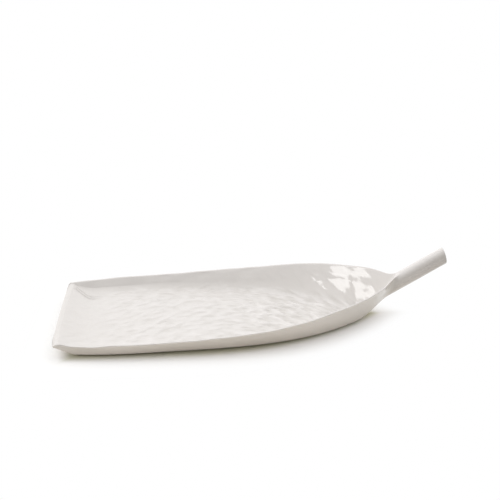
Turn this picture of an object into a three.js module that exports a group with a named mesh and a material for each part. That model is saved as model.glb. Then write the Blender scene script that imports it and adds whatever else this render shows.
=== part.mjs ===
// Leaf-shaped porcelain serving plate: a shallow dish with one straight-cut end, drawn out into a round stem.
// Millimetres, +Z up. Lengths along the plate start at the cut end and run along +X towards the stem.
import * as THREE from 'three';

const { degToRad, lerp, smoothstep } = THREE.MathUtils;

// Blade outline seen from above
const BLADE_LENGTH = 331; // cut end to the joint with the stem
const CUT_END_TO_WIDEST = 115;
const WIDEST_HALF_WIDTH = 88.8;
const CUT_END_HALF_WIDTH = 79;
const CUT_END_BOW = 1.5; // the cut edge bulges outwards in the middle
const OUTLINE_POWER = 3.2; // how late the sides turn in towards the stem

// Rim
const CUT_END_RIM_HEIGHT = 13.2;
const NECK_RIM_HEIGHT = 41.4;
const RIM_RISE_POWER = 2; // how late the rim climbs towards the stem
const RIM_WIDTH = 3;
const RIM_ROUNDING = 0.9;

// Walls and floor
const WALL_FLARE = 0.84; // outward lean of the side walls, for each mm of height
const CORNER_FLARE = 0.6; // the same lean at the two cut corners
const CUT_END_FLARE_LENGTH = 17.5; // the low end wall leans out over this length
const CUT_END_THICKNESS = 2.5;
const FLOOR_THICKNESS = 4.2;
const INNER_FLARE = 1.2; // lean of the inner walls, square to the rim, for each mm of height
const COVE_SHARE = 0.45; // share of the inner wall that the curve up from the floor takes
const KEEL_HALF_WIDTH = 3; // rounding under the tip, where the two walls come together
const VALLEY_HALF_WIDTH = 6; // rounding inside the tip

// Stem
const STEM_RADIUS = 8;
const STEM_LENGTH = 49.4;
const STEM_PITCH = degToRad(29.8);
const STEM_ROOT_HEIGHT = 34.7; // stem axis at the joint
const STEM_END_PITCH = degToRad(16); // tilt of the cut face at the free end
const STEM_END_CHAMFER = 0.8;

// Neck, where the blade lifts off the table and its section turns into the round of the stem
const NECK_LENGTH = 41;
const RIM_ANGLE_ON_STEM = degToRad(62); // where the rim runs out on the round stem
const RIM_STEP_ON_STEM = degToRad(4); // half of the rim's own width there
const RIM_TURN_DELAY = 3; // how much later the rim turns round than the middle of the section

// Foot ring
const FOOT_HEIGHT = 1.2;
const FOOT_WIDTH = 4;
const FOOT_INSET = 5;

// Fineness of the curved surfaces
const FLAT_STEPS = 3;
const COVE_STEPS = 5;
const WALL_STEPS = 2;
const END_STATIONS = 5;
const BLADE_STATIONS = 26;
const NECK_STATIONS = 12;
const STEM_SIDES = 36;
const FOOT_STATIONS = 32;

const LIFT_OFF = BLADE_LENGTH - NECK_LENGTH;
const PROFILE_STEPS = FLAT_STEPS + COVE_STEPS + WALL_STEPS;
const DOWN = -Math.PI / 2;
const UP = Math.PI / 2;

// Point of the stem's upright section, by its angle from the horizontal, also inside the blade's neck
function stemPoint(x, angle) {
  const axisHeight = STEM_ROOT_HEIGHT + (x - BLADE_LENGTH) * Math.tan(STEM_PITCH);
  const uprightRadius = STEM_RADIUS / Math.cos(STEM_PITCH);
  return new THREE.Vector2(STEM_RADIUS * Math.cos(angle), axisHeight + uprightRadius * Math.sin(angle));
}

function rimHalfWidth(x) {
  if (x < CUT_END_TO_WIDEST) {
    const toCutEnd = 1 - x / CUT_END_TO_WIDEST;
    return lerp(WIDEST_HALF_WIDTH, CUT_END_HALF_WIDTH, toCutEnd ** OUTLINE_POWER);
  }
  const toStem = (x - CUT_END_TO_WIDEST) / (BLADE_LENGTH - CUT_END_TO_WIDEST);
  const neckHalfWidth = stemPoint(BLADE_LENGTH, RIM_ANGLE_ON_STEM).x;
  return lerp(WIDEST_HALF_WIDTH, neckHalfWidth, toStem ** OUTLINE_POWER);
}

// Turn of the rim's outline from the length of the plate
function rimSlope(x) {
  return (rimHalfWidth(x + RIM_WIDTH) - rimHalfWidth(x - RIM_WIDTH)) / (2 * RIM_WIDTH);
}

function rimHeight(x) {
  return lerp(CUT_END_RIM_HEIGHT, NECK_RIM_HEIGHT, (x / BLADE_LENGTH) ** RIM_RISE_POWER);
}

// Half-width between the outer walls at a height, negative below the line where they would meet
function wallHalfWidth(x, z) {
  const flare = lerp(CORNER_FLARE, WALL_FLARE, smoothstep(x, 0, CUT_END_TO_WIDEST));
  return rimHalfWidth(x) - flare * (rimHeight(x) - z);
}

// A half-width that stays above zero and is rounded where the two walls come together
function roundedHalfWidth(halfWidth, rounding) {
  return (halfWidth + Math.hypot(halfWidth, 2 * rounding)) / 2;
}

// The end wall's share of its full height, from 1 at the cut edge to 0 on the flat base
function endWallShare(x) {
  return Math.max(0, 1 - x / CUT_END_FLARE_LENGTH);
}

// The underside is flat between the end wall and the neck, where it rises to the stem
function undersideHeight(x) {
  const cutEndUnderside = CUT_END_RIM_HEIGHT - RIM_ROUNDING - CUT_END_THICKNESS;
  const neckShare = Math.max(0, (x - LIFT_OFF) / NECK_LENGTH);
  const neckUnderside = stemPoint(BLADE_LENGTH, DOWN).y;
  return lerp(FOOT_HEIGHT, cutEndUnderside, endWallShare(x)) + (neckUnderside - FOOT_HEIGHT) * neckShare;
}

function pointsBetween(from, to, steps) {
  const points = [];
  for (let step = 1; step <= steps; step += 1) {
    points.push(new THREE.Vector2().lerpVectors(from, to, step / steps));
  }
  return points;
}

// Outside of the half section, from the middle of the underside to the rim
function outerProfile(x) {
  const underside = undersideHeight(x);
  const middle = new THREE.Vector2(0, underside);
  const baseHalfWidth = roundedHalfWidth(wallHalfWidth(x, underside), KEEL_HALF_WIDTH);
  const baseEdge = new THREE.Vector2(baseHalfWidth, underside);
  const rimEdge = new THREE.Vector2(rimHalfWidth(x), rimHeight(x) - RIM_ROUNDING);
  const flat = pointsBetween(middle, baseEdge, FLAT_STEPS);
  const wall = pointsBetween(baseEdge, rimEdge, COVE_STEPS + WALL_STEPS);
  return [middle, ...flat, ...wall];
}

// Inside of the half section, from the middle of the floor over the curved corner to the rim
function innerProfile(x) {
  const floor = undersideHeight(x) + lerp(FLOOR_THICKNESS, CUT_END_THICKNESS, endWallShare(x));
  const middle = new THREE.Vector2(0, floor);
  const rimEdge = new THREE.Vector2(rimHalfWidth(x) - RIM_WIDTH, rimHeight(x) - RIM_ROUNDING);
  const wallRun = INNER_FLARE * (rimHeight(x) - floor) * Math.hypot(1, rimSlope(x));
  const floorHalfWidth = roundedHalfWidth(rimEdge.x - wallRun, VALLEY_HALF_WIDTH);
  const corner = new THREE.Vector2(floorHalfWidth, floor);
  const coveTop = new THREE.Vector2().lerpVectors(corner, rimEdge, COVE_SHARE);
  const coveStart = new THREE.Vector2(floorHalfWidth ** 2 / (floorHalfWidth + corner.distanceTo(coveTop)), floor);
  const flat = pointsBetween(middle, coveStart, FLAT_STEPS);
  const cove = new THREE.QuadraticBezierCurve(coveStart, corner, coveTop).getPoints(COVE_STEPS).slice(1);
  const wall = pointsBetween(coveTop, rimEdge, WALL_STEPS);
  return [middle, ...flat, ...cove, ...wall];
}

// A point of the blade's section, moved over the neck to its place on the stem's round section
function turnedRound(x, point, toRim, angle) {
  const neck = smoothstep(x, LIFT_OFF, BLADE_LENGTH);
  return new THREE.Vector2().lerpVectors(point, stemPoint(x, angle), neck ** (1 + RIM_TURN_DELAY * toRim));
}

// Half section from the middle of the underside, out over the rim and back to the middle of the floor
function bladeHalfSection(x) {
  const outer = outerProfile(x).map((point, step) => {
    const toRim = step / PROFILE_STEPS;
    return turnedRound(x, point, toRim, lerp(DOWN, RIM_ANGLE_ON_STEM - RIM_STEP_ON_STEM, toRim));
  });
  const inner = innerProfile(x).map((point, step) => {
    const toRim = step / PROFILE_STEPS;
    return turnedRound(x, point, toRim, lerp(UP, RIM_ANGLE_ON_STEM + RIM_STEP_ON_STEM, toRim));
  });
  const crest = new THREE.Vector2(rimHalfWidth(x) - RIM_WIDTH / 2, rimHeight(x));
  return [...outer, turnedRound(x, crest, 1, RIM_ANGLE_ON_STEM), ...inner.toReversed()];
}

// The cut edge isn't quite straight: the sections bulge outwards near it
function bowedPoint(x, y, z) {
  const across = y / rimHalfWidth(x);
  return new THREE.Vector3(x - CUT_END_BOW * endWallShare(x) * (1 - across ** 2), y, z);
}

function bladeStations() {
  const stretches = [
    [CUT_END_FLARE_LENGTH, END_STATIONS],
    [LIFT_OFF, BLADE_STATIONS],
    [BLADE_LENGTH, NECK_STATIONS],
  ];
  const stations = [0];
  for (const [end, count] of stretches) {
    const start = stations.at(-1);
    for (let step = 1; step <= count; step += 1) {
      stations.push(lerp(start, end, step / count));
    }
  }
  return stations;
}

function closedGeometry(vertices, triangles) {
  const geometry = new THREE.BufferGeometry().setFromPoints(vertices);
  geometry.setIndex(triangles.flat());
  geometry.computeVertexNormals();
  return geometry;
}

// Side faces between rings of equal length that all run the same way round
function ringFaces(ringCount, ringLength) {
  const faces = [];
  for (let ring = 0; ring + 1 < ringCount; ring += 1) {
    for (let point = 0; point < ringLength; point += 1) {
      const here = ring * ringLength + point;
      const next = ring * ringLength + (point + 1) % ringLength;
      faces.push([here, next, next + ringLength], [here, next + ringLength, here + ringLength]);
    }
  }
  return faces;
}

// Faces that close one end of the dish: strips from the outside to the inside of the section
function sectionFaces(halfLength, ringLength) {
  const crest = (halfLength - 1) / 2;
  const right = [[crest - 1, crest, crest + 1]];
  for (let step = 0; step + 1 < crest; step += 1) {
    const above = halfLength - 1 - step;
    right.push([step, step + 1, above - 1], [step, above - 1, above]);
  }
  const left = right.map((face) => face.map((point) => (ringLength - point) % ringLength).toReversed());
  return [...right, ...left];
}

// Leaf dish: floor, flared walls and rim as one shell, lofted through upright sections along the blade
function leafDishGeometry() {
  const stations = bladeStations();
  const halves = stations.map(bladeHalfSection);
  const halfLength = halves[0].length;
  const ringLength = 2 * halfLength - 2;
  const vertices = halves.flatMap((half, index) => {
    const otherHalf = half.slice(1, -1).toReversed().map((point) => new THREE.Vector2(-point.x, point.y));
    return [...half, ...otherHalf].map((point) => bowedPoint(stations[index], point.x, point.y));
  });
  const lastRing = (stations.length - 1) * ringLength;
  const faces = ringFaces(stations.length, ringLength);
  for (const face of sectionFaces(halfLength, ringLength)) {
    faces.push(face.toReversed(), face.map((point) => point + lastRing));
  }
  return closedGeometry(vertices, faces);
}

// Stem: a straight round rod, cut upright where it meets the neck and steeply at its free end
function stemGeometry() {
  const along = new THREE.Vector3(Math.cos(STEM_PITCH), 0, Math.sin(STEM_PITCH));
  const up = new THREE.Vector3(-Math.sin(STEM_PITCH), 0, Math.cos(STEM_PITCH));
  const root = new THREE.Vector3(BLADE_LENGTH, 0, STEM_ROOT_HEIGHT);
  const rings = [
    { distance: 0, radius: STEM_RADIUS, facePitch: 0 },
    { distance: STEM_LENGTH - STEM_END_CHAMFER, radius: STEM_RADIUS, facePitch: STEM_END_PITCH },
    { distance: STEM_LENGTH, radius: STEM_RADIUS - STEM_END_CHAMFER, facePitch: STEM_END_PITCH },
  ];
  const vertices = [];
  for (const { distance, radius, facePitch } of rings) {
    for (let side = 0; side < STEM_SIDES; side += 1) {
      const angle = (side / STEM_SIDES) * 2 * Math.PI;
      const rise = radius * Math.sin(angle);
      const slant = rise * Math.tan(STEM_PITCH - facePitch);
      const point = root.clone().addScaledVector(along, distance + slant).addScaledVector(up, rise);
      point.y = radius * Math.cos(angle);
      vertices.push(point);
    }
  }
  const lastRing = (rings.length - 1) * STEM_SIDES;
  const rootMiddle = vertices.push(root) - 1;
  const endMiddle = vertices.push(root.clone().addScaledVector(along, STEM_LENGTH)) - 1;
  const faces = ringFaces(rings.length, STEM_SIDES);
  for (let side = 0; side < STEM_SIDES; side += 1) {
    const next = (side + 1) % STEM_SIDES;
    faces.push([rootMiddle, next, side], [endMiddle, lastRing + side, lastRing + next]);
  }
  return closedGeometry(vertices, faces);
}

// Edge of the flat base, drawn in by an inset measured square to it
function footOutline(inset) {
  const start = CUT_END_FLARE_LENGTH + inset;
  const end = LIFT_OFF - inset;
  const spacing = (end - start) / FOOT_STATIONS;
  const side = [];
  for (let station = 0; station <= FOOT_STATIONS; station += 1) {
    const x = start + station * spacing;
    const halfWidth = wallHalfWidth(x, FOOT_HEIGHT);
    const slope = (wallHalfWidth(x + spacing, FOOT_HEIGHT) - halfWidth) / spacing;
    side.push(new THREE.Vector2(x, halfWidth - inset * Math.hypot(1, slope)));
  }
  const otherSide = side.map((point) => new THREE.Vector2(point.x, -point.y));
  return [...otherSide, ...side.toReversed()];
}

// Foot ring: a low flat ring under the floor that follows the edge of the base
function footRingGeometry() {
  const shape = new THREE.Shape(footOutline(FOOT_INSET));
  shape.holes.push(new THREE.Path(footOutline(FOOT_INSET + FOOT_WIDTH)));
  return new THREE.ExtrudeGeometry(shape, { depth: FOOT_HEIGHT, bevelEnabled: false });
}

function glazedPorcelain() {
  return new THREE.MeshStandardMaterial({ color: 0xece8e3, roughness: 0.15, metalness: 0 });
}

function bisquePorcelain() {
  return new THREE.MeshStandardMaterial({ color: 0xe4dccf, roughness: 0.85, metalness: 0 });
}

function namedMesh(name, geometry, material) {
  const mesh = new THREE.Mesh(geometry, material);
  mesh.name = name;
  return mesh;
}

const leafPlate = new THREE.Group();
leafPlate.add(namedMesh('leaf_dish', leafDishGeometry(), glazedPorcelain()));
leafPlate.add(namedMesh('stem', stemGeometry(), glazedPorcelain()));
leafPlate.add(namedMesh('foot_ring', footRingGeometry(), bisquePorcelain()));

// The middle of the overall length lies on the upright axis
const overall = new THREE.Box3().setFromObject(leafPlate, true);
leafPlate.position.x = -(overall.min.x + overall.max.x) / 2;

export default leafPlate;
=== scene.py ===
import math

import bpy
import numpy as np
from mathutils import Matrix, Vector, noise


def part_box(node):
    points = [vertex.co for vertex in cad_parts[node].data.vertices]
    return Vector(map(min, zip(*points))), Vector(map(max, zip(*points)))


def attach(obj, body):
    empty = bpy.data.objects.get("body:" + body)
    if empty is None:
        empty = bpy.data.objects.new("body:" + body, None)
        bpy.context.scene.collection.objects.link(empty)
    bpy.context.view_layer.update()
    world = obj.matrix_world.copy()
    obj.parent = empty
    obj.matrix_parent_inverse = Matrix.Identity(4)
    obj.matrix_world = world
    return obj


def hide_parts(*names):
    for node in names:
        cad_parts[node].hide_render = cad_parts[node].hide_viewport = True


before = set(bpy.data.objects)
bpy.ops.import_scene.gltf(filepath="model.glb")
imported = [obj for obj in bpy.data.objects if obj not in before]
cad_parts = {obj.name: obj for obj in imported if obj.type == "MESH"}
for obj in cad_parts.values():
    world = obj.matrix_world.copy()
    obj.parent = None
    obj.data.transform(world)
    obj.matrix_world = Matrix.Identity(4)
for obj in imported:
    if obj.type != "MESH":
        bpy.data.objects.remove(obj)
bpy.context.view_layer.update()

# Leaf dish
# One shell of porcelain, pressed by hand over a mould, so the floor keeps shallow dents and the
# rim waves a little. It is dipped in a glossy warm white glaze and fired, and the stem is luted
# to the flat face of its neck.
MM = 0.001
dish_low, dish_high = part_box("leaf_dish")
stem_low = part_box("stem")[0]
foot_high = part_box("foot_ring")[1]
CUT_END_BOW = 1.5 * MM
CUT_END_X = dish_low.x + CUT_END_BOW
BLADE_LENGTH = dish_high.x - CUT_END_X
WIDEST_HALF_WIDTH = dish_high.y
CUT_END_TO_WIDEST = 115 * MM
CUT_END_HALF_WIDTH = 79 * MM
OUTLINE_POWER = 3.2
CUT_END_RIM_HEIGHT = 13.2 * MM
NECK_RIM_HEIGHT = 41.4 * MM
RIM_WIDTH = 3 * MM
RIM_ROUNDING = 0.9 * MM
RIM_CREST_SHARE = 0.75
WALL_FLARE = 0.84
CORNER_FLARE = 0.6
END_WALL_LENGTH = 17.5 * MM
END_COVE_LENGTH = 27 * MM
END_COVE_POWER = 1.7
END_LIP = 3.5 * MM
CUT_END_THICKNESS = 2.5 * MM
FLOOR_THICKNESS = 4.2 * MM
UNDERSIDE = foot_high.z
BASE_FILLET = 2.5 * MM
FILLET_WALL_SHARE = 0.3
INNER_FLARE = 1.2
COVE_SHARE = 0.45
END_COVE_SHARE = 0.3
END_COVE_CHANGE = (40 * MM, 120 * MM)
TIP_COVE_SHARE = 0.7
TIP_COVE_CHANGE = (215 * MM, 295 * MM)
CORNER_SPREAD = 15 * MM
SPREAD_GROWS = (3 * MM, 24 * MM)
SPREAD_FADES = (28 * MM, 150 * MM)
SPREAD_EDGE = 0.4
KEEL_HALF_WIDTH = 3 * MM
VALLEY_HALF_WIDTH = 6 * MM
NECK_LENGTH = 41 * MM
STEM_RADIUS = 8 * MM
STEM_PITCH = math.radians(29.8)
STEM_ROOT_HEIGHT = 34.7 * MM
RIM_ANGLE_ON_STEM = math.radians(62)
RIM_STEP_ON_STEM = math.radians(4)
RIM_TURN_DELAY = 3
INNER_TURN_DELAY = 0.5
LIFT_OFF = BLADE_LENGTH - NECK_LENGTH
NECK_HALF_WIDTH = STEM_RADIUS * math.cos(RIM_ANGLE_ON_STEM)
STEM_UPRIGHT_RADIUS = STEM_RADIUS / math.cos(STEM_PITCH)
NECK_UNDERSIDE = STEM_ROOT_HEIGHT - STEM_UPRIGHT_RADIUS


def between(start, end, share):
    return start + (end - start) * share


def smooth_rise(value, start, end):
    share = np.clip((value - start) / (end - start), 0, 1)
    return share * share * (3 - 2 * share)


def rim_half_width(along):
    to_cut_end = np.maximum(1 - along / CUT_END_TO_WIDEST, 0)
    to_stem = np.maximum((along - CUT_END_TO_WIDEST) / (BLADE_LENGTH - CUT_END_TO_WIDEST), 0)
    cut_end_drop = (WIDEST_HALF_WIDTH - CUT_END_HALF_WIDTH) * to_cut_end ** OUTLINE_POWER
    stem_drop = (WIDEST_HALF_WIDTH - NECK_HALF_WIDTH) * to_stem ** OUTLINE_POWER
    return WIDEST_HALF_WIDTH - cut_end_drop - stem_drop


def rim_slope(along):
    return (rim_half_width(along + RIM_WIDTH) - rim_half_width(along - RIM_WIDTH)) / (2 * RIM_WIDTH)


def rim_height(along):
    return between(CUT_END_RIM_HEIGHT, NECK_RIM_HEIGHT, (along / BLADE_LENGTH) ** 2)


def wall_flare(along):
    return between(CORNER_FLARE, WALL_FLARE, smooth_rise(along, 0, CUT_END_TO_WIDEST))


def wall_half_width(along, height):
    return rim_half_width(along) - wall_flare(along) * (rim_height(along) - height)


def rounded_half_width(half_width, rounding):
    return (half_width + np.hypot(half_width, 2 * rounding)) / 2


# Share of the inner wall's height that its hollow foot takes up
def cove_share(along):
    from_end = between(END_COVE_SHARE, COVE_SHARE, smooth_rise(along, *END_COVE_CHANGE))
    return between(from_end, TIP_COVE_SHARE, smooth_rise(along, *TIP_COVE_CHANGE))


def underside_height(along):
    cut_end = CUT_END_RIM_HEIGHT - RIM_ROUNDING - CUT_END_THICKNESS
    end_share = np.clip(1 - along / END_WALL_LENGTH, 0, 1)
    neck_share = np.clip((along - LIFT_OFF) / NECK_LENGTH, 0, 1)
    return between(UNDERSIDE, cut_end, end_share) + (NECK_UNDERSIDE - UNDERSIDE) * neck_share


def floor_height(along):
    cut_end_floor = CUT_END_RIM_HEIGHT - RIM_ROUNDING
    up_end_wall = np.clip((END_COVE_LENGTH - along) / (END_COVE_LENGTH - END_LIP), 0, 1)
    neck_share = np.clip((along - LIFT_OFF) / NECK_LENGTH, 0, 1)
    blade_floor = between(UNDERSIDE + FLOOR_THICKNESS, cut_end_floor, up_end_wall ** END_COVE_POWER)
    return blade_floor + (NECK_UNDERSIDE - UNDERSIDE) * neck_share


# How much further the hollow foot of the inner wall spreads into the floor beside the cut end
def corner_spread(along):
    fading = 1 - smooth_rise(along, *SPREAD_FADES)
    return smooth_rise(along, *SPREAD_GROWS) * fading


# Half width of the line where the inner wall meets the floor
def corner_line(along):
    wall_height = rim_height(along) - floor_height(along)
    wall_run = INNER_FLARE * wall_height * np.hypot(1, rim_slope(along))
    return rounded_half_width(rim_half_width(along) - RIM_WIDTH - wall_run, VALLEY_HALF_WIDTH)


# Points of a curve with one to four handles, for every station at once
def curve_points(handles, shares):
    points = [np.stack(np.broadcast_arrays(*handle), axis=-1)[:, None, :] for handle in handles]
    while len(points) > 1:
        points = [between(one, other, shares[None, :, None]) for one, other in zip(points, points[1:])]
    return points[0]


UNDERSIDE_STEPS = 20
FILLET_STEPS = 5
OUTER_WALL_STEPS = 12
RIM_STEPS = 8
INNER_WALL_STEPS = 14
COVE_STEPS = 18
FLOOR_STEPS = 60
FLOOR_TURN = 0.3
FILLET_TURN = 0.44
COVE_TURN = 0.8


# Half section of the dish from the middle of the underside over the rim to the middle of the floor,
# one row a station, with the share of the way to the rim, the angle on the stem and the side of the
# rim that belong to each point
def half_sections(along):
    underside = underside_height(along)
    floor = floor_height(along)
    flare = wall_flare(along)
    rim = rim_half_width(along)
    rim_edge_height = rim_height(along) - RIM_ROUNDING
    base = rounded_half_width(wall_half_width(along, underside), KEEL_HALF_WIDTH)
    fillet = np.minimum(BASE_FILLET, FILLET_WALL_SHARE * (rim_edge_height - underside))
    wall_share = fillet / np.maximum(rim_edge_height - underside, MM)
    wall_start = (between(base, rim, wall_share), underside + fillet)
    base_start = (base * base / (base + fillet), underside)
    rim_outside = (rim, rim_edge_height)
    rim_inside = (rim - RIM_WIDTH, rim_edge_height)
    handle_lift = RIM_ROUNDING / RIM_CREST_SHARE
    rim_outer_handle = (rim + flare * handle_lift, rim_edge_height + handle_lift)
    rim_inner_handle = (rim - RIM_WIDTH + flare * handle_lift, rim_edge_height + handle_lift)
    corner = corner_line(along)
    cove_top_width = between(corner, rim - RIM_WIDTH, cove_share(along))
    cove_top_height = between(floor, rim_edge_height, cove_share(along))
    spread = corner_spread(along)
    cove_reach = np.hypot(cove_top_width - corner, cove_top_height - floor) + CORNER_SPREAD * spread
    cove_foot = between(floor, cove_top_height, SPREAD_EDGE * spread)
    cove_top = (cove_top_width, cove_top_height)
    cove_start = (corner ** 2 / (corner + cove_reach), floor)
    middle = 0 * along
    stretches = [
        ([(middle, underside), base_start], UNDERSIDE_STEPS, 0, FLOOR_TURN),
        ([base_start, (base, underside), wall_start], FILLET_STEPS, FLOOR_TURN, FILLET_TURN),
        ([wall_start, rim_outside], OUTER_WALL_STEPS, FILLET_TURN, 1),
        ([rim_outside, rim_outer_handle, rim_inner_handle, rim_inside], RIM_STEPS, 1, 1),
        ([rim_inside, cove_top], INNER_WALL_STEPS, 1, COVE_TURN),
        ([cove_top, (corner, cove_foot), cove_start], COVE_STEPS, COVE_TURN, FLOOR_TURN),
        ([cove_start, (middle, floor)], FLOOR_STEPS, FLOOR_TURN, 0),
    ]
    points = []
    to_rim = []
    for handles, steps, turn_start, turn_end in stretches:
        shares = np.arange(steps) / steps
        points.append(curve_points(handles, shares))
        to_rim.append(between(turn_start, turn_end, shares))
    points.append(curve_points([(middle, floor)], np.zeros(1)))
    to_rim = np.concatenate([*to_rim, np.zeros(1)])
    outer_count = UNDERSIDE_STEPS + FILLET_STEPS + OUTER_WALL_STEPS
    outer_angle = between(-math.pi / 2, RIM_ANGLE_ON_STEM - RIM_STEP_ON_STEM, to_rim)
    inner_angle = between(math.pi / 2, RIM_ANGLE_ON_STEM + RIM_STEP_ON_STEM, to_rim)
    over_rim = np.clip((np.arange(to_rim.size) - outer_count) / RIM_STEPS, 0, 1)
    return np.concatenate(points, axis=1), to_rim, between(outer_angle, inner_angle, over_rim), over_rim


# The sections stand closer together at the cut end, and the neck turns them into the stem's round
END_STEP = 0.8 * MM
BLADE_STEP = 1.2 * MM
end_stations = np.arange(0, END_COVE_LENGTH, END_STEP)
blade_count = round((BLADE_LENGTH - END_COVE_LENGTH) / BLADE_STEP)
blade_stations = np.linspace(END_COVE_LENGTH, BLADE_LENGTH, blade_count)
stations = np.concatenate([end_stations, blade_stations])
half, to_rim, stem_angle, over_rim = half_sections(stations)
neck = smooth_rise(stations, LIFT_OFF, BLADE_LENGTH)[:, None]
turn_delay = RIM_TURN_DELAY * between(to_rim, 1, INNER_TURN_DELAY * over_rim)
turned = (neck ** (1 + turn_delay[None, :]))[..., None]
axis_height = STEM_ROOT_HEIGHT + (stations - BLADE_LENGTH) * math.tan(STEM_PITCH)
round_half = np.stack(np.broadcast_arrays(
    STEM_RADIUS * np.cos(stem_angle)[None, :],
    axis_height[:, None] + STEM_UPRIGHT_RADIUS * np.sin(stem_angle)[None, :],
), axis=-1)
half = between(half, round_half, turned)


# A row of values along the half section, carried round to the other side
def all_round(values, axis=0):
    other_side = np.flip(values, axis).take(range(1, values.shape[axis] - 1), axis)
    return np.concatenate([values, other_side], axis)


ring = all_round(half, axis=1)
ring_count = ring.shape[1]
half_count = half.shape[1]
side = np.where(np.arange(ring_count) < half_count, 1, -1)
inner = all_round(over_rim)[None, :]
across = ring[..., 0] * side
height = ring[..., 1].copy()
along = np.repeat(stations[:, None], ring_count, axis=1)
end_wall = np.clip(1 - along / END_WALL_LENGTH, 0, 1)
bow = CUT_END_BOW * end_wall * (1 - (across / rim_half_width(along)) ** 2)
dish = np.stack([along - bow, across, height], axis=-1)
SHORTEST_NORMAL = 1e-12


# Outward direction of each point of a grid of rings
def grid_normals(points):
    lengthwise = np.gradient(points, axis=0)
    wrapped = np.concatenate([points[:, -1:], points, points[:, :1]], axis=1)
    crosswise = np.gradient(wrapped, axis=1)[:, 1:-1]
    normals = np.cross(crosswise, lengthwise)
    return normals / np.maximum(np.linalg.norm(normals, axis=-1, keepdims=True), SHORTEST_NORMAL)


# Dents of the pressing fingers on the floor, in rows that slant over the plate and curl round its tip
DENT_LENGTH = 8 * MM
DENT_WIDTH = 6.4 * MM
DENT_SLANT = 0.45
DENT_LEAN = 0.5
CURL_START = 130 * MM
CURL_PER_METRE = 13
DENT_DEPTH = 0.8 * MM
SMALL_DENT_SHARE = 0.3
SMALL_DENTS_PER_DENT = 2
DENT_LAYER = 0.5


def dent_shape(x, y):
    curl = max(x - CURL_START, 0)
    row = y - DENT_SLANT * x + CURL_PER_METRE / 2 * curl * curl
    place = Vector((x / DENT_LENGTH, row / DENT_WIDTH, DENT_LAYER))
    place.y += DENT_LEAN * noise.noise(place)
    return noise.noise(place) + SMALL_DENT_SHARE * noise.noise(SMALL_DENTS_PER_DENT * place)


# Narrow furrows that run along the foot of the back wall and round the tip
FURROW_LENGTH = 17 * MM
FURROW_WIDTH = 6.5 * MM
FURROW_DEPTH = 0.95 * MM
FURROW_LAYER = 3.5


def furrow_shape(x, from_wall):
    return noise.noise(Vector((x / FURROW_LENGTH, from_wall / FURROW_WIDTH, FURROW_LAYER)))


# Slow waves of the wall, slanting like the strokes that smoothed it, and a fine flutter of the glaze
STROKE_LENGTH = 30 * MM
STROKE_WIDTH = 9 * MM
STROKE_SLOPE = 0.6
STROKE_DEPTH = 0.35 * MM
FLUTTER_LENGTH = 20 * MM
FLUTTER_WIDTH = 4.5 * MM
FLUTTER_DEPTH = 0.16 * MM


def stroke_shape(x, y, z):
    slanted = (z - STROKE_SLOPE * x) / STROKE_WIDTH
    return noise.noise(Vector(((x + STROKE_SLOPE * z) / STROKE_LENGTH, y / STROKE_LENGTH, slanted)))


def flutter_shape(x, y, z):
    return noise.noise(Vector((x / FLUTTER_LENGTH, y / FLUTTER_LENGTH, z / FLUTTER_WIDTH)))


# Where the relief grows and fades: along the plate, up the wall as a share of its height,
# and away from the wall
NECK_LEFT_SMOOTH = 6 * MM
SMOOTH_BELOW_RIM = (0.85, 1)
BACK_WALL_DENTS = 0.12
FRONT_WALL_DENTS = 0.6
DENTS_THIN_OUT = (0.02, 0.22)
DENTS_STOP = (0.75, 0.95)
CUT_END_DENTS = 0.2
MIDDLE_DENTS = 0.8
MORE_TIP_DENTS = 1.0
DENTS_GROW = (12 * MM, 75 * MM)
DENTS_DEEPEN = (130 * MM, 250 * MM)
FURROWS_START = (0, 8 * MM)
FURROWS_STOP = (20 * MM, 36 * MM)
WAVES_START = (0.05, 0.3)
STROKES_STOP = (190 * MM, 240 * MM)
floor_line = floor_height(along)
rim_line = rim_height(along)
rise = np.clip((height - floor_line) / np.maximum(rim_line - floor_line, MM), 0, 1)
from_wall = corner_line(along) - np.abs(across)
inside = inner * (1 - smooth_rise(along, LIFT_OFF, BLADE_LENGTH - NECK_LEFT_SMOOTH))
below_rim = 1 - smooth_rise(rise, *SMOOTH_BELOW_RIM)
wall_dents = np.where(side > 0, BACK_WALL_DENTS, FRONT_WALL_DENTS)
up_wall = between(1, wall_dents, smooth_rise(rise, *DENTS_THIN_OUT)) * (1 - smooth_rise(rise, *DENTS_STOP))
down_plate = between(CUT_END_DENTS, MIDDLE_DENTS, smooth_rise(along, *DENTS_GROW))
down_plate = down_plate + MORE_TIP_DENTS * smooth_rise(along, *DENTS_DEEPEN)
by_wall = smooth_rise(from_wall, *FURROWS_START) * (1 - smooth_rise(from_wall, *FURROWS_STOP))
furrow_share = by_wall * (side > 0)
wall_share = inside * smooth_rise(rise, *WAVES_START) * below_rim
floor_share = inside * up_wall * down_plate
stroke_share = 1 - smooth_rise(along, *STROKES_STOP)
dents = np.vectorize(dent_shape)(along, across)
furrows = np.vectorize(furrow_shape)(along, from_wall)
strokes = np.vectorize(stroke_shape)(dish[..., 0], dish[..., 1], dish[..., 2])
flutter = np.vectorize(flutter_shape)(dish[..., 0], dish[..., 1], dish[..., 2])
pressed = between(DENT_DEPTH * dents, FURROW_DEPTH * furrows, furrow_share)
wall_waves = STROKE_DEPTH * strokes * stroke_share + FLUTTER_DEPTH * flutter
relief = pressed * floor_share + wall_waves * wall_share

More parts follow.
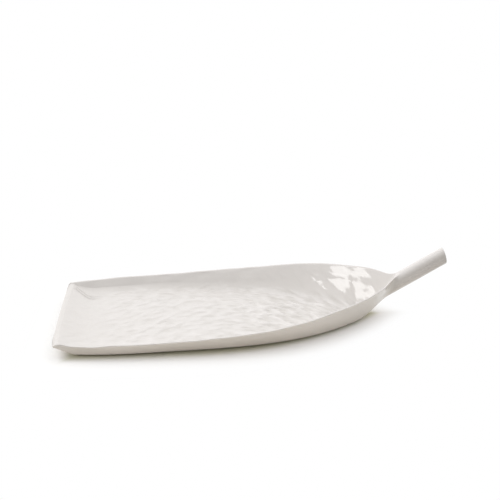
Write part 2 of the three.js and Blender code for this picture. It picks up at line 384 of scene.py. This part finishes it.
# Fine folds along the crease of the back cut corner, where the clay was pushed together
FOLD_SPACING = 5.5 * MM
FOLD_DEPTH = 0.9 * MM
FOLDS_START = (3 * MM, 8 * MM)
FOLDS_STOP = (16 * MM, 40 * MM)
FOLDS_LEAVE_WALL = (-4 * MM, 2 * MM)
FOLDS_REACH_FLOOR = (8 * MM, 15 * MM)
from_edge = from_wall - CORNER_SPREAD * corner_spread(along)
fold_mask = smooth_rise(along, *FOLDS_START) * (1 - smooth_rise(along, *FOLDS_STOP))
fold_mask = fold_mask * smooth_rise(from_edge, *FOLDS_LEAVE_WALL)
fold_mask = fold_mask * (1 - smooth_rise(from_edge, *FOLDS_REACH_FLOOR))
folds = FOLD_DEPTH * np.sin(2 * math.pi * from_edge / FOLD_SPACING) * fold_mask
relief += inner * (side > 0) * folds
dish += grid_normals(dish) * relief[..., None]

# Waves of the rim by hand: slow lifts along both sides, small ripples, and a curled lip at the front
# cut corner. Each lift or push is given by its place along the plate, its length and its size.
RIM_LIFTS = [(60 * MM, 40 * MM, 0.6 * MM), (190 * MM, 28 * MM, -0.5 * MM), (254 * MM, 26 * MM, 0.9 * MM)]
FRONT_LIFTS = [(0, 3 * MM, -0.8 * MM), (7 * MM, 6 * MM, 1.9 * MM), (36 * MM, 12 * MM, -0.9 * MM)]
FRONT_PUSHES = [(8 * MM, 9 * MM, 0.9 * MM), (40 * MM, 45 * MM, 0.4 * MM)]
RIPPLE_LENGTH = 19 * MM
RIPPLE_LIFT = 0.45 * MM
RIPPLE_PUSH = 0.6 * MM
LIFT_ROW = 3.7
PUSH_ROW = 8.3
RIM_PULL_POWER = 3
STILL_NECK = 15 * MM
WAVING_WIDTH = (0.5, 0.9)
up_side = np.clip((height - UNDERSIDE) / np.maximum(rim_line - UNDERSIDE, MM), 0, 1)
rim_pull = up_side ** RIM_PULL_POWER * (1 - smooth_rise(along, LIFT_OFF, BLADE_LENGTH - STILL_NECK))
on_wall = smooth_rise(np.abs(across) / rim_half_width(along), *WAVING_WIDTH)


def waves(places):
    return sum(size * np.exp(-((along - place) / length) ** 2) for place, length, size in places)


def rim_ripple(x, row):
    return noise.noise(Vector((x / RIPPLE_LENGTH, row, 0)))


front = (side < 0) * 1.0
up_ripple = np.vectorize(rim_ripple)(along, side[None, :] * LIFT_ROW)
out_ripple = np.vectorize(rim_ripple)(along, side[None, :] * PUSH_ROW)
lift = waves(RIM_LIFTS) + RIPPLE_LIFT * up_ripple + front * waves(FRONT_LIFTS)
push = RIPPLE_PUSH * out_ripple + front * waves(FRONT_PUSHES)
dish[..., 2] += rim_pull * on_wall * lift
dish[..., 1] += rim_pull * on_wall * side * push

# The cut edge is rounded: outside and inside draw together over a few last rings
EDGE_TURNS = [math.radians(turn) for turn in (75, 50, 25)]
opposite = (half_count - 1 - np.arange(ring_count)) % ring_count
edge = dish[0]
edge_middle = (edge + edge[opposite]) / 2
edge_rings = []
for turn in EDGE_TURNS:
    edge_ring = edge_middle + (edge - edge_middle) * math.cos(turn)
    edge_ring[:, 0] -= CUT_END_THICKNESS / 2 * math.sin(turn)
    edge_rings.append(edge_ring)
dish = np.concatenate([np.array(edge_rings), dish])
dish[..., 0] += CUT_END_X

# Glaze runs off the rim and the ridges and gathers in the dents and round the foot of the wall. Under the
# neck and near the stem the glaze colour is darkened as painted shade.
FLOOR_POOL = 0.45
DENT_POOL = 0.5
WALL_FOOT_POOL = 0.3
WALL_FOOT = (0, 0.12)
OUTER_POOL = 0.35
NECK_PAINTED_SHADE = 0.6
NECK_SHADE_GROWS = (225 * MM, 300 * MM)
CUT_EDGE_SHARE = 0.3
STEM_PAINTED_SHADE = 0.65
STEM_SIDE = 0.3
JOINT_BLEND = 13 * MM


# Painted shade: the stem's sides and underside get the darker pooled glaze colour, its top the thin one
def painted_round_shade(sine):
    return STEM_PAINTED_SHADE * (1 - smooth_rise(sine, STEM_SIDE, 1))


wall_foot_pool = WALL_FOOT_POOL * smooth_rise(rise, *WALL_FOOT) * (1 - rise)
inner_pool = inner * (FLOOR_POOL - DENT_POOL * dents * floor_share + wall_foot_pool)
# Painted shade: the outside of the neck is darkened more and more towards the stem
outer_pool_and_neck_shade = OUTER_POOL + NECK_PAINTED_SHADE * smooth_rise(along, *NECK_SHADE_GROWS)
pool_and_shade = np.clip(np.where(inner > 0, inner_pool, outer_pool_and_neck_shade), 0, 1)
joint_painted_shade = painted_round_shade(np.sin(all_round(stem_angle)))
pool_and_shade = between(pool_and_shade, joint_painted_shade[None, :], smooth_rise(along, BLADE_LENGTH - JOINT_BLEND, BLADE_LENGTH))
pool_and_shade = np.concatenate([np.repeat(pool_and_shade[:1] * CUT_EDGE_SHARE, len(EDGE_TURNS), axis=0), pool_and_shade])


def ring_faces(first_count, count):
    faces = []
    for row in range(first_count - 1):
        for point in range(count):
            here = row * count + point
            beside = row * count + (point + 1) % count
            faces.append((here, beside, beside + count, here + count))
    return faces


# Strips across the first and the last section close the shell
def section_faces(count):
    last = half_count - 1
    pairs = [(point, last - point) for point in range(last // 2)]
    faces = []
    for (low, high), (next_low, next_high) in zip(pairs, pairs[1:]):
        faces.append((low, next_low, next_high, high))
        mirrored = [(count - point) % count for point in (high, next_high, next_low, low)]
        faces.append(tuple(mirrored))
    low, high = pairs[-1]
    if high - low > 1:
        tip = list(range(low, high + 1))
        faces.append(tuple(tip))
        faces.append(tuple((count - point) % count for point in reversed(tip)))
    return faces


def smooth_mesh(name, points, faces):
    mesh = bpy.data.meshes.new(name)
    mesh.from_pydata(points.tolist(), [], faces)
    mesh.validate()
    mesh.shade_smooth()
    piece = bpy.data.objects.new(name, mesh)
    bpy.context.scene.collection.objects.link(piece)
    return piece


# Joint faces stay crisp, so that they don't bend the shading of the glazed surface beside them
def keep_crisp(mesh, first_vertex, end_vertex):
    for edge in mesh.edges:
        if all(first_vertex <= vertex < end_vertex for vertex in edge.vertices):
            edge.use_edge_sharp = True


row_count = dish.shape[0]
dish_faces = ring_faces(row_count, ring_count)
last_row = (row_count - 1) * ring_count
for face in section_faces(ring_count):
    dish_faces.append(tuple(reversed(face)))
    dish_faces.append(tuple(point + last_row for point in face))
glazed_dish = smooth_mesh("glazed_leaf_dish", dish.reshape(-1, 3), dish_faces)
keep_crisp(glazed_dish.data, last_row, last_row + ring_count)
# These values hold the glaze pooling and the painted shade of the neck
pool_and_shade_values = glazed_dish.data.attributes.new("glaze_pool_and_shade", "FLOAT", "POINT")
pool_and_shade_values.data.foreach_set("value", pool_and_shade.astype(np.float32).ravel())
CLOUD_DETAIL = 4
SPECK_EDGE = 0.12
SPECK_CORE = 0.05
SPECK_RARITY = 0.93


# Kiln mottle: cloudy changes and rare fine specks that the firing leaves in glaze and in bare clay
def kiln_mottle_group():
    group = bpy.data.node_groups.new("kiln_mottle", "ShaderNodeTree")
    face = group.interface
    face.new_socket("Clouds per metre", in_out="INPUT", socket_type="NodeSocketFloat")
    face.new_socket("Specks per metre", in_out="INPUT", socket_type="NodeSocketFloat")
    face.new_socket("Clouds", in_out="OUTPUT", socket_type="NodeSocketFloat")
    face.new_socket("Specks", in_out="OUTPUT", socket_type="NodeSocketFloat")
    nodes = group.nodes
    links = group.links
    entry = nodes.new("NodeGroupInput")
    exit_node = nodes.new("NodeGroupOutput")
    place = nodes.new("ShaderNodeTexCoord")
    clouds = nodes.new("ShaderNodeTexNoise")
    clouds.inputs["Detail"].default_value = CLOUD_DETAIL
    links.new(place.outputs["Object"], clouds.inputs["Vector"])
    links.new(entry.outputs["Clouds per metre"], clouds.inputs["Scale"])
    specks = nodes.new("ShaderNodeTexVoronoi")
    links.new(place.outputs["Object"], specks.inputs["Vector"])
    links.new(entry.outputs["Specks per metre"], specks.inputs["Scale"])
    near = nodes.new("ShaderNodeMapRange")
    near.inputs["From Min"].default_value = SPECK_EDGE
    near.inputs["From Max"].default_value = SPECK_CORE
    links.new(specks.outputs["Distance"], near.inputs["Value"])
    tint = nodes.new("ShaderNodeSeparateColor")
    links.new(specks.outputs["Color"], tint.inputs["Color"])
    rare = nodes.new("ShaderNodeMath")
    rare.operation = "GREATER_THAN"
    rare.inputs[1].default_value = SPECK_RARITY
    links.new(tint.outputs["Red"], rare.inputs[0])
    both = nodes.new("ShaderNodeMath")
    both.operation = "MULTIPLY"
    links.new(near.outputs["Result"], both.inputs[0])
    links.new(rare.outputs["Value"], both.inputs[1])
    links.new(clouds.outputs["Fac"], exit_node.inputs["Clouds"])
    links.new(both.outputs["Value"], exit_node.inputs["Specks"])
    return group


kiln_mottle = kiln_mottle_group()


def mix_colours(tree, share, first, second):
    mix = tree.nodes.new("ShaderNodeMix")
    mix.data_type = "RGBA"
    tree.links.new(share, mix.inputs["Factor"])
    for socket, colour in (("A", first), ("B", second)):
        entry = next(found for found in mix.inputs if found.name == socket and found.type == "RGBA")
        if isinstance(colour, tuple):
            entry.default_value = (*colour, 1)
        else:
            tree.links.new(colour, entry)
    return next(found for found in mix.outputs if found.type == "RGBA")


def spread_value(tree, value, low, high):
    spread = tree.nodes.new("ShaderNodeMapRange")
    spread.inputs["To Min"].default_value = low
    spread.inputs["To Max"].default_value = high
    tree.links.new(value, spread.inputs["Value"])
    return spread.outputs["Result"]


def placed_mottle(tree, clouds_per_metre, specks_per_metre):
    mottle = tree.nodes.new("ShaderNodeGroup")
    mottle.node_tree = kiln_mottle
    mottle.inputs["Clouds per metre"].default_value = clouds_per_metre
    mottle.inputs["Specks per metre"].default_value = specks_per_metre
    return mottle


# Fine bumps of a skin of glaze or of bare clay, fed to the normal of a shader
def bumpy_skin(tree, shader, bumps_per_metre, detail, strength, depth):
    place = tree.nodes.new("ShaderNodeTexCoord")
    skin = tree.nodes.new("ShaderNodeTexNoise")
    skin.inputs["Scale"].default_value = bumps_per_metre
    skin.inputs["Detail"].default_value = detail
    tree.links.new(place.outputs["Object"], skin.inputs["Vector"])
    bump = tree.nodes.new("ShaderNodeBump")
    bump.inputs["Strength"].default_value = strength
    bump.inputs["Distance"].default_value = depth
    tree.links.new(skin.outputs["Fac"], bump.inputs["Height"])
    tree.links.new(bump.outputs["Normal"], shader.inputs["Normal"])


THIN_GLAZE = (0.83, 0.797, 0.778)
POOLED_AND_SHADED_GLAZE = (0.645, 0.614, 0.578)
CLOUDED_GLAZE = (0.733, 0.695, 0.664)
SPECK = (0.45, 0.40, 0.32)
GLAZE_IOR = 1.56
GLAZE_CLOUDS_PER_METRE = 28
GLAZE_SPECKS_PER_METRE = 220
GLAZE_CLOUDING = 0.5
GLAZE_SPECKING = 0.35
GLAZE_SMOOTHEST = 0.03
GLAZE_ROUGHEST = 0.07
GLAZE_BUMPS_PER_METRE = 260
GLAZE_BUMP_DETAIL = 2
GLAZE_BUMP_STRENGTH = 0.04
GLAZE_BUMP_DEPTH = 0.15 * MM


def glaze_material():
    material = bpy.data.materials.new("warm_white_glaze")
    material.use_nodes = True
    tree = material.node_tree
    shader = tree.nodes["Principled BSDF"]
    pool_and_shade_depth = tree.nodes.new("ShaderNodeAttribute")
    pool_and_shade_depth.attribute_name = "glaze_pool_and_shade"
    mottle = placed_mottle(tree, GLAZE_CLOUDS_PER_METRE, GLAZE_SPECKS_PER_METRE)
    clouds = mottle.outputs["Clouds"]
    # The pooled colour serves both real pooling of glaze in dents and painted shade on the neck and stem
    body = mix_colours(tree, pool_and_shade_depth.outputs["Fac"], THIN_GLAZE, POOLED_AND_SHADED_GLAZE)
    clouded = mix_colours(tree, spread_value(tree, clouds, 0, GLAZE_CLOUDING), body, CLOUDED_GLAZE)
    speck_share = spread_value(tree, mottle.outputs["Specks"], 0, GLAZE_SPECKING)
    specked = mix_colours(tree, speck_share, clouded, SPECK)
    tree.links.new(specked, shader.inputs["Base Color"])
    roughness = spread_value(tree, clouds, GLAZE_SMOOTHEST, GLAZE_ROUGHEST)
    tree.links.new(roughness, shader.inputs["Roughness"])
    shader.inputs["IOR"].default_value = GLAZE_IOR
    bumpy_skin(tree, shader, GLAZE_BUMPS_PER_METRE, GLAZE_BUMP_DETAIL, GLAZE_BUMP_STRENGTH, GLAZE_BUMP_DEPTH)
    return material


glaze = glaze_material()
glazed_dish.data.materials.append(glaze)
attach(glazed_dish, "root")
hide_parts("leaf_dish")

# Stem
# The round leaf stem that serves as the handle: a rolled rod of porcelain with an even glaze, cut off
# at its free end. Its flat lower end is luted with slip on the neck of the dish, and the glaze runs
# over the joint.
STEM_LENGTH = 49.4 * MM
STEM_END_PITCH = math.radians(16)
STEM_END_ROUNDING = 0.9 * MM
STEM_END_TURNS = [math.radians(turn) for turn in (30, 55, 75, 90)]
STEM_END_INSETS = [0.66, 0.33]
STEM_END_BULGE = 0.25 * MM
STEM_SIDES = 96
STEM_STATIONS = 60
STEM_UNEVENNESS = 0.1 * MM
STEM_UNEVEN_LENGTH = 28 * MM
EVEN_ROOT = 0.35
stem_along = Vector((math.cos(STEM_PITCH), 0, math.sin(STEM_PITCH)))
stem_up = Vector((-math.sin(STEM_PITCH), 0, math.cos(STEM_PITCH)))
stem_root = Vector((stem_low.x, 0, STEM_ROOT_HEIGHT))


def stem_ring(distance, radius, face_pitch, unevenness):
    points = []
    for side_step in range(STEM_SIDES):
        angle = 2 * math.pi * side_step / STEM_SIDES
        upward = radius * math.sin(angle)
        slant = upward * math.tan(STEM_PITCH - face_pitch)
        point = stem_root + stem_along * (distance + slant) + stem_up * upward
        point.y = radius * math.cos(angle)
        outward = stem_up * math.sin(angle) + Vector((0, math.cos(angle), 0))
        points.append(point + outward * unevenness * noise.noise(point / STEM_UNEVEN_LENGTH))
    return points


stem_points = []
shank_end = STEM_LENGTH - STEM_END_ROUNDING
for step in range(STEM_STATIONS + 1):
    share = step / STEM_STATIONS
    uneven = STEM_UNEVENNESS * smooth_rise(share, 0, EVEN_ROOT)
    stem_points += stem_ring(shank_end * share, STEM_RADIUS, STEM_END_PITCH * share, uneven)
for turn in STEM_END_TURNS:
    distance = shank_end + STEM_END_ROUNDING * math.sin(turn)
    radius = STEM_RADIUS - STEM_END_ROUNDING * (1 - math.cos(turn))
    stem_points += stem_ring(distance, radius, STEM_END_PITCH, STEM_UNEVENNESS)
for inset in STEM_END_INSETS:
    distance = STEM_LENGTH + STEM_END_BULGE * (1 - inset)
    radius = (STEM_RADIUS - STEM_END_ROUNDING) * inset
    stem_points += stem_ring(distance, radius, STEM_END_PITCH, 0)
stem_rows = len(stem_points) // STEM_SIDES
stem_faces = ring_faces(stem_rows, STEM_SIDES)
stem_faces.append(tuple(reversed(range(STEM_SIDES))))
stem_faces.append(tuple(range((stem_rows - 1) * STEM_SIDES, stem_rows * STEM_SIDES)))
glazed_stem = smooth_mesh("glazed_stem", np.array(stem_points), stem_faces)
keep_crisp(glazed_stem.data, 0, STEM_SIDES)
# The stem's values are painted shade, from the darker sides and underside to the lighter top
stem_shade_layer = glazed_stem.data.attributes.new("glaze_pool_and_shade", "FLOAT", "POINT")
stem_sines = [math.sin(2 * math.pi * step / STEM_SIDES) for step in range(STEM_SIDES)]
stem_painted_shades = [painted_round_shade(sine) for sine in stem_sines]
stem_shade_layer.data.foreach_set("value", stem_painted_shades * stem_rows)
glazed_stem.data.materials.append(glaze)
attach(glazed_stem, "root")
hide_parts("stem")

# Foot ring
# The low ring under the floor that the plate stands on: the same clay, wiped clean of glaze before
# the firing, so it is matt and a little darker. Its edges are rubbed round.
FOOT_WIDTH = 4 * MM
FOOT_INSET = 5 * MM
FOOT_STATIONS = 120
FOOT_EDGE = 0.5 * MM
FOOT_EDGE_NEAR = 0.15 * FOOT_EDGE
FOOT_EDGE_FAR = 0.45 * FOOT_EDGE


# Line round the foot at an inset from the edge of the flat base, measured square to it
def foot_line(inset):
    start = END_WALL_LENGTH + inset
    end = LIFT_OFF - inset
    places = np.linspace(start, end, FOOT_STATIONS)
    half_widths = wall_half_width(places, UNDERSIDE)
    slopes = np.gradient(half_widths, places)
    edge_line = half_widths - inset * np.hypot(1, slopes)
    side_line = np.stack([places + CUT_END_X, edge_line], axis=-1)
    other_line = np.flip(side_line, 0) * np.array([1, -1])
    return np.concatenate([side_line, other_line])


outer_edge = [
    (0, FOOT_EDGE),
    (FOOT_EDGE_NEAR, FOOT_EDGE_FAR),
    (FOOT_EDGE_FAR, FOOT_EDGE_NEAR),
    (FOOT_EDGE, 0),
]
inner_edge = [(FOOT_WIDTH - inset, level) for inset, level in reversed(outer_edge)]
foot_profile = [(0, UNDERSIDE), *outer_edge, *inner_edge, (FOOT_WIDTH, UNDERSIDE)]
foot_rows = []
for foot_inset, foot_height in foot_profile:
    line = foot_line(FOOT_INSET + foot_inset)
    foot_rows.append(np.column_stack([line, np.full(len(line), foot_height)]))
foot_count = len(foot_rows[0])
foot_faces = ring_faces(len(foot_rows), foot_count)
closing_row = (len(foot_rows) - 1) * foot_count
for point in range(foot_count):
    beside = (point + 1) % foot_count
    foot_faces.append((closing_row + point, closing_row + beside, beside, point))
foot = smooth_mesh("bisque_foot_ring", np.concatenate(foot_rows), foot_faces)
BARE_CLAY = (0.70, 0.64, 0.55)
PALE_CLAY = (0.80, 0.75, 0.67)
CLAY_CLOUDS_PER_METRE = 120
CLAY_SPECKS_PER_METRE = 900
CLAY_SMOOTHEST = 0.75
CLAY_ROUGHEST = 0.95
CLAY_BUMPS_PER_METRE = 2500
CLAY_BUMP_DETAIL = 2
CLAY_BUMP_STRENGTH = 0.4
CLAY_BUMP_DEPTH = 0.1 * MM


def bisque_material():
    material = bpy.data.materials.new("bare_bisque_clay")
    material.use_nodes = True
    tree = material.node_tree
    shader = tree.nodes["Principled BSDF"]
    mottle = placed_mottle(tree, CLAY_CLOUDS_PER_METRE, CLAY_SPECKS_PER_METRE)
    body = mix_colours(tree, mottle.outputs["Clouds"], BARE_CLAY, PALE_CLAY)
    specked = mix_colours(tree, mottle.outputs["Specks"], body, SPECK)
    tree.links.new(specked, shader.inputs["Base Color"])
    roughness = spread_value(tree, mottle.outputs["Clouds"], CLAY_SMOOTHEST, CLAY_ROUGHEST)
    tree.links.new(roughness, shader.inputs["Roughness"])
    bumpy_skin(tree, shader, CLAY_BUMPS_PER_METRE, CLAY_BUMP_DETAIL, CLAY_BUMP_STRENGTH, CLAY_BUMP_DEPTH)
    return material


foot.data.materials.append(bisque_material())
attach(foot, "root")
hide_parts("foot_ring")

# Table
# A wide pale table top under the plate. It bounces a warm light and keeps the plate's shadow,
# and away from the plate the camera and the gloss of the glaze see it as plain white.
TABLE_HALF = 14
NEAR_BOUNCE = (0.98, 0.93, 0.85)
FAR_BOUNCE = (0.20, 0.19, 0.17)
BOUNCE_CENTRE = -10 * MM
BOUNCE_NEAR = 150 * MM
BOUNCE_FAR = 300 * MM
TABLE_SHOWN = (1.0, 0.995, 0.985)
WHITE = (1, 1, 1)
BASE_HALF_WIDTH = 76 * MM
BASE_START = -170 * MM
BASE_WIDEST = -75 * MM
BASE_RUN = 190 * MM
BASE_POWER = 2.4
SHADOW_REACH = 2 * MM
SHADOW_FADE = 48 * MM
# Painted shadow: a dark olive tint that the camera sees on the table close round the plate's base
SHADOW_TINT = (0.60, 0.59, 0.45)
TINT_START = -2 * MM
TINT_END = 14 * MM
table_mesh = bpy.data.meshes.new("table")
table_corners = [(-TABLE_HALF, -TABLE_HALF, 0), (TABLE_HALF, -TABLE_HALF, 0),
                 (TABLE_HALF, TABLE_HALF, 0), (-TABLE_HALF, TABLE_HALF, 0)]
table_mesh.from_pydata(table_corners, [], [(0, 1, 2, 3)])
table = bpy.data.objects.new("table", table_mesh)
bpy.context.scene.collection.objects.link(table)


def math_node(tree, operation, first, second):
    node = tree.nodes.new("ShaderNodeMath")
    node.operation = operation
    for socket, value in zip(node.inputs, (first, second)):
        if isinstance(value, (int, float)):
            socket.default_value = value
        else:
            tree.links.new(value, socket)
    return node.outputs["Value"]


# One where the camera looks, straight, in the gloss of the glaze or through something clear,
# and zero for bounced light
def looking_ray(tree):
    path = tree.nodes.new("ShaderNodeLightPath")
    by_way = math_node(tree, "MAXIMUM", path.outputs["Is Glossy Ray"], path.outputs["Is Transmission Ray"])
    return math_node(tree, "MAXIMUM", path.outputs["Is Camera Ray"], by_way)


def soft_step(tree, value, start, end):
    step = tree.nodes.new("ShaderNodeMapRange")
    step.interpolation_type = "SMOOTHSTEP"
    step.inputs["From Min"].default_value = start
    step.inputs["From Max"].default_value = end
    tree.links.new(value, step.inputs["Value"])
    return step.outputs["Result"]


# How far a place on the table lies outside the plate's base, which narrows towards the stem
def plate_distance(tree, place):
    parts = tree.nodes.new("ShaderNodeSeparateXYZ")
    tree.links.new(place, parts.inputs["Vector"])
    from_widest = math_node(tree, "SUBTRACT", parts.outputs["X"], BASE_WIDEST)
    past_widest = math_node(tree, "MAXIMUM", from_widest, 0)
    narrowed = math_node(tree, "POWER", math_node(tree, "DIVIDE", past_widest, BASE_RUN), BASE_POWER)
    narrowing = math_node(tree, "MULTIPLY", narrowed, BASE_HALF_WIDTH)
    sideways = math_node(tree, "ADD", math_node(tree, "ABSOLUTE", parts.outputs["Y"], 0), narrowing)
    beside = math_node(tree, "SUBTRACT", sideways, BASE_HALF_WIDTH)
    before = math_node(tree, "SUBTRACT", BASE_START, parts.outputs["X"])
    return math_node(tree, "MAXIMUM", before, beside)


def table_material():
    material = bpy.data.materials.new("pale_table")
    material.use_nodes = True
    tree = material.node_tree
    tree.nodes.clear()
    output = tree.nodes.new("ShaderNodeOutputMaterial")
    place = tree.nodes.new("ShaderNodeTexCoord")
    moved = tree.nodes.new("ShaderNodeVectorMath")
    moved.operation = "SUBTRACT"
    moved.inputs[1].default_value = (BOUNCE_CENTRE, 0, 0)
    tree.links.new(place.outputs["Object"], moved.inputs[0])
    distance = tree.nodes.new("ShaderNodeVectorMath")
    distance.operation = "LENGTH"
    tree.links.new(moved.outputs["Vector"], distance.inputs[0])
    from_plate = plate_distance(tree, place.outputs["Object"])
    looking = looking_ray(tree)
    far = soft_step(tree, distance.outputs["Value"], BOUNCE_NEAR, BOUNCE_FAR)
    bounce = mix_colours(tree, far, NEAR_BOUNCE, FAR_BOUNCE)
    lit = tree.nodes.new("ShaderNodeBsdfDiffuse")
    # Painted shadow ring: near the base the table's shown colour turns to the shadow tint
    open_table = soft_step(tree, from_plate, TINT_START, TINT_END)
    shown = mix_colours(tree, open_table, SHADOW_TINT, TABLE_SHOWN)
    tree.links.new(mix_colours(tree, looking, bounce, shown), lit.inputs["Color"])
    white = tree.nodes.new("ShaderNodeEmission")
    white.inputs["Color"].default_value = (*WHITE, 1)
    fade = soft_step(tree, from_plate, SHADOW_REACH, SHADOW_FADE)
    mix = tree.nodes.new("ShaderNodeMixShader")
    tree.links.new(math_node(tree, "MULTIPLY", fade, looking), mix.inputs["Fac"])
    tree.links.new(lit.outputs["BSDF"], mix.inputs[1])
    tree.links.new(white.outputs["Emission"], mix.inputs[2])
    tree.links.new(mix.outputs["Shader"], output.inputs["Surface"])
    return material


table.data.materials.append(table_material())

# Light
# Soft light from above, from behind and from both sides, and a softbox high on the left whose image
# shows in the glaze near the stem. The camera and the gloss see a white backdrop, which in the gloss
# is dark towards the front of the room. Each part of the sky has a direction, a focus and a strength.
SKY_PARTS = [
    ((0, 0, 1), 2, 0.71),
    ((0, 1, 0), 2, 1.66),
    ((-1, 0, 0), 2, 1.6),
    ((1, 0, 0), 2, 1.55),
    ((-0.6, 0.2, 0.77), 4, 0.45),
]
ROOM_FRONT = (0, -1, 0)
ROOM_START = -0.2
ROOM_FULL = 0.7
LAMP_PLACE = Vector((-0.73, 0.17, 1.08))
LAMP_TARGET = Vector((0.09, 0.05, 0.02))
LAMP_WIDTH = 0.17
LAMP_DEPTH = 0.37
LAMP_POWER = 0.9
world = bpy.data.worlds.new("studio")
bpy.context.scene.world = world
world.use_nodes = True
world_tree = world.node_tree
world_tree.nodes.clear()
world_output = world_tree.nodes.new("ShaderNodeOutputWorld")
world_place = world_tree.nodes.new("ShaderNodeTexCoord")


def facing(direction):
    towards = world_tree.nodes.new("ShaderNodeVectorMath")
    towards.operation = "DOT_PRODUCT"
    towards.inputs[1].default_value = Vector(direction).normalized()
    world_tree.links.new(world_place.outputs["Generated"], towards.inputs[0])
    return towards.outputs["Value"]


sky_strength = 0.0
for axis, focus, strength in SKY_PARTS:
    lit_side = math_node(world_tree, "MAXIMUM", facing(axis), 0)
    part = math_node(world_tree, "MULTIPLY", math_node(world_tree, "POWER", lit_side, focus), strength)
    sky_strength = math_node(world_tree, "ADD", part, sky_strength)
sky = world_tree.nodes.new("ShaderNodeBackground")
sky.inputs["Color"].default_value = (*WHITE, 1)
world_tree.links.new(sky_strength, sky.inputs["Strength"])
in_front = soft_step(world_tree, facing(ROOM_FRONT), ROOM_START, ROOM_FULL)
room = math_node(world_tree, "SUBTRACT", 1, in_front)
world_path = world_tree.nodes.new("ShaderNodeLightPath")
backdrop = world_tree.nodes.new("ShaderNodeBackground")
backdrop.inputs["Color"].default_value = (*WHITE, 1)
backdrop_strength = math_node(world_tree, "MAXIMUM", world_path.outputs["Is Camera Ray"], room)
world_tree.links.new(backdrop_strength, backdrop.inputs["Strength"])
world_mix = world_tree.nodes.new("ShaderNodeMixShader")
world_tree.links.new(looking_ray(world_tree), world_mix.inputs["Fac"])
world_tree.links.new(sky.outputs["Background"], world_mix.inputs[1])
world_tree.links.new(backdrop.outputs["Background"], world_mix.inputs[2])
world_tree.links.new(world_mix.outputs["Shader"], world_output.inputs["Surface"])
lamp = bpy.data.lights.new("left_softbox", "AREA")
lamp.shape = "RECTANGLE"
lamp.size = LAMP_WIDTH
lamp.size_y = LAMP_DEPTH
lamp.energy = LAMP_POWER
softbox = bpy.data.objects.new("left_softbox", lamp)
softbox.location = LAMP_PLACE
softbox.rotation_mode = "QUATERNION"
softbox.rotation_quaternion = (LAMP_TARGET - LAMP_PLACE).to_track_quat("-Z", "Y")
softbox.visible_camera = False
bpy.context.scene.collection.objects.link(softbox)

# Camera
# It stands a little left of the middle and looks down on the plate, as in the photo. Its place and
# direction come from the plate's outline.
CAMERA_PLACE = Vector((-0.0771, -0.8178, 0.3469))
CAMERA_AZIMUTH = math.radians(-5.03)
CAMERA_ELEVATION = math.radians(18.63)
CAMERA_LENS = 64.8
SENSOR_WIDTH = 36
level = math.cos(CAMERA_ELEVATION)
backward_x = math.sin(CAMERA_AZIMUTH) * level
backward_y = -math.cos(CAMERA_AZIMUTH) * level
backward = Vector((backward_x, backward_y, math.sin(CAMERA_ELEVATION)))
camera_data = bpy.data.cameras.new("camera")
camera_data.lens = CAMERA_LENS
camera_data.sensor_width = SENSOR_WIDTH
camera = bpy.data.objects.new("camera", camera_data)
camera.location = CAMERA_PLACE
camera.rotation_mode = "QUATERNION"
camera.rotation_quaternion = (-backward).to_track_quat("-Z", "Y")
bpy.context.scene.collection.objects.link(camera)
bpy.context.scene.camera = camera
bpy.context.scene.view_settings.view_transform = "Standard"
